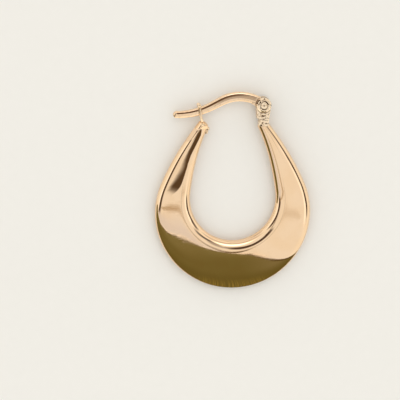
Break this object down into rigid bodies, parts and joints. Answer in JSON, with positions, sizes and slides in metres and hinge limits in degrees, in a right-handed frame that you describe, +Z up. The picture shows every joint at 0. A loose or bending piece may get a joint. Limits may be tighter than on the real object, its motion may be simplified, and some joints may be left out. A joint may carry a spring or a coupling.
{
  "type": "oval hoop earring",
  "caption": "Puffed oval creole hoop in polished gold, wide at the bottom and narrow at both tips, with a hinged ear wire that drops into an open fork catch.",
  "frame": {"origin": "middle of the bounding box's bottom face, on the surface that the earring lies on", "axes": "+Z up, out of the front face; +Y from the bottom of the hoop to the hinge end; +X across the hoop to the hinge's side. The hoop's own plane leans 1.3 degrees, as it rests on its rivet head and the back of the band"},
  "size_m": [0.0204, 0.026, 0.0026],
  "materials": {
    "polished_gold": "mirror polish"
  },
  "bodies": {
    "hoop": {"hoop": "polished_gold", "hinge_rivet": "polished_gold"},
    "ear_wire": {"ear_wire": "polished_gold"}
  },
  "joints": [
    {"name": "ear_wire_swing", "type": "hinge", "parent": "hoop", "child": "ear_wire", "pos_m": [0.00395, 0.01128, 0.00131], "axis": [0.0062, 0.0216, -0.9997], "range_deg": [0, 100]}
  ]
}
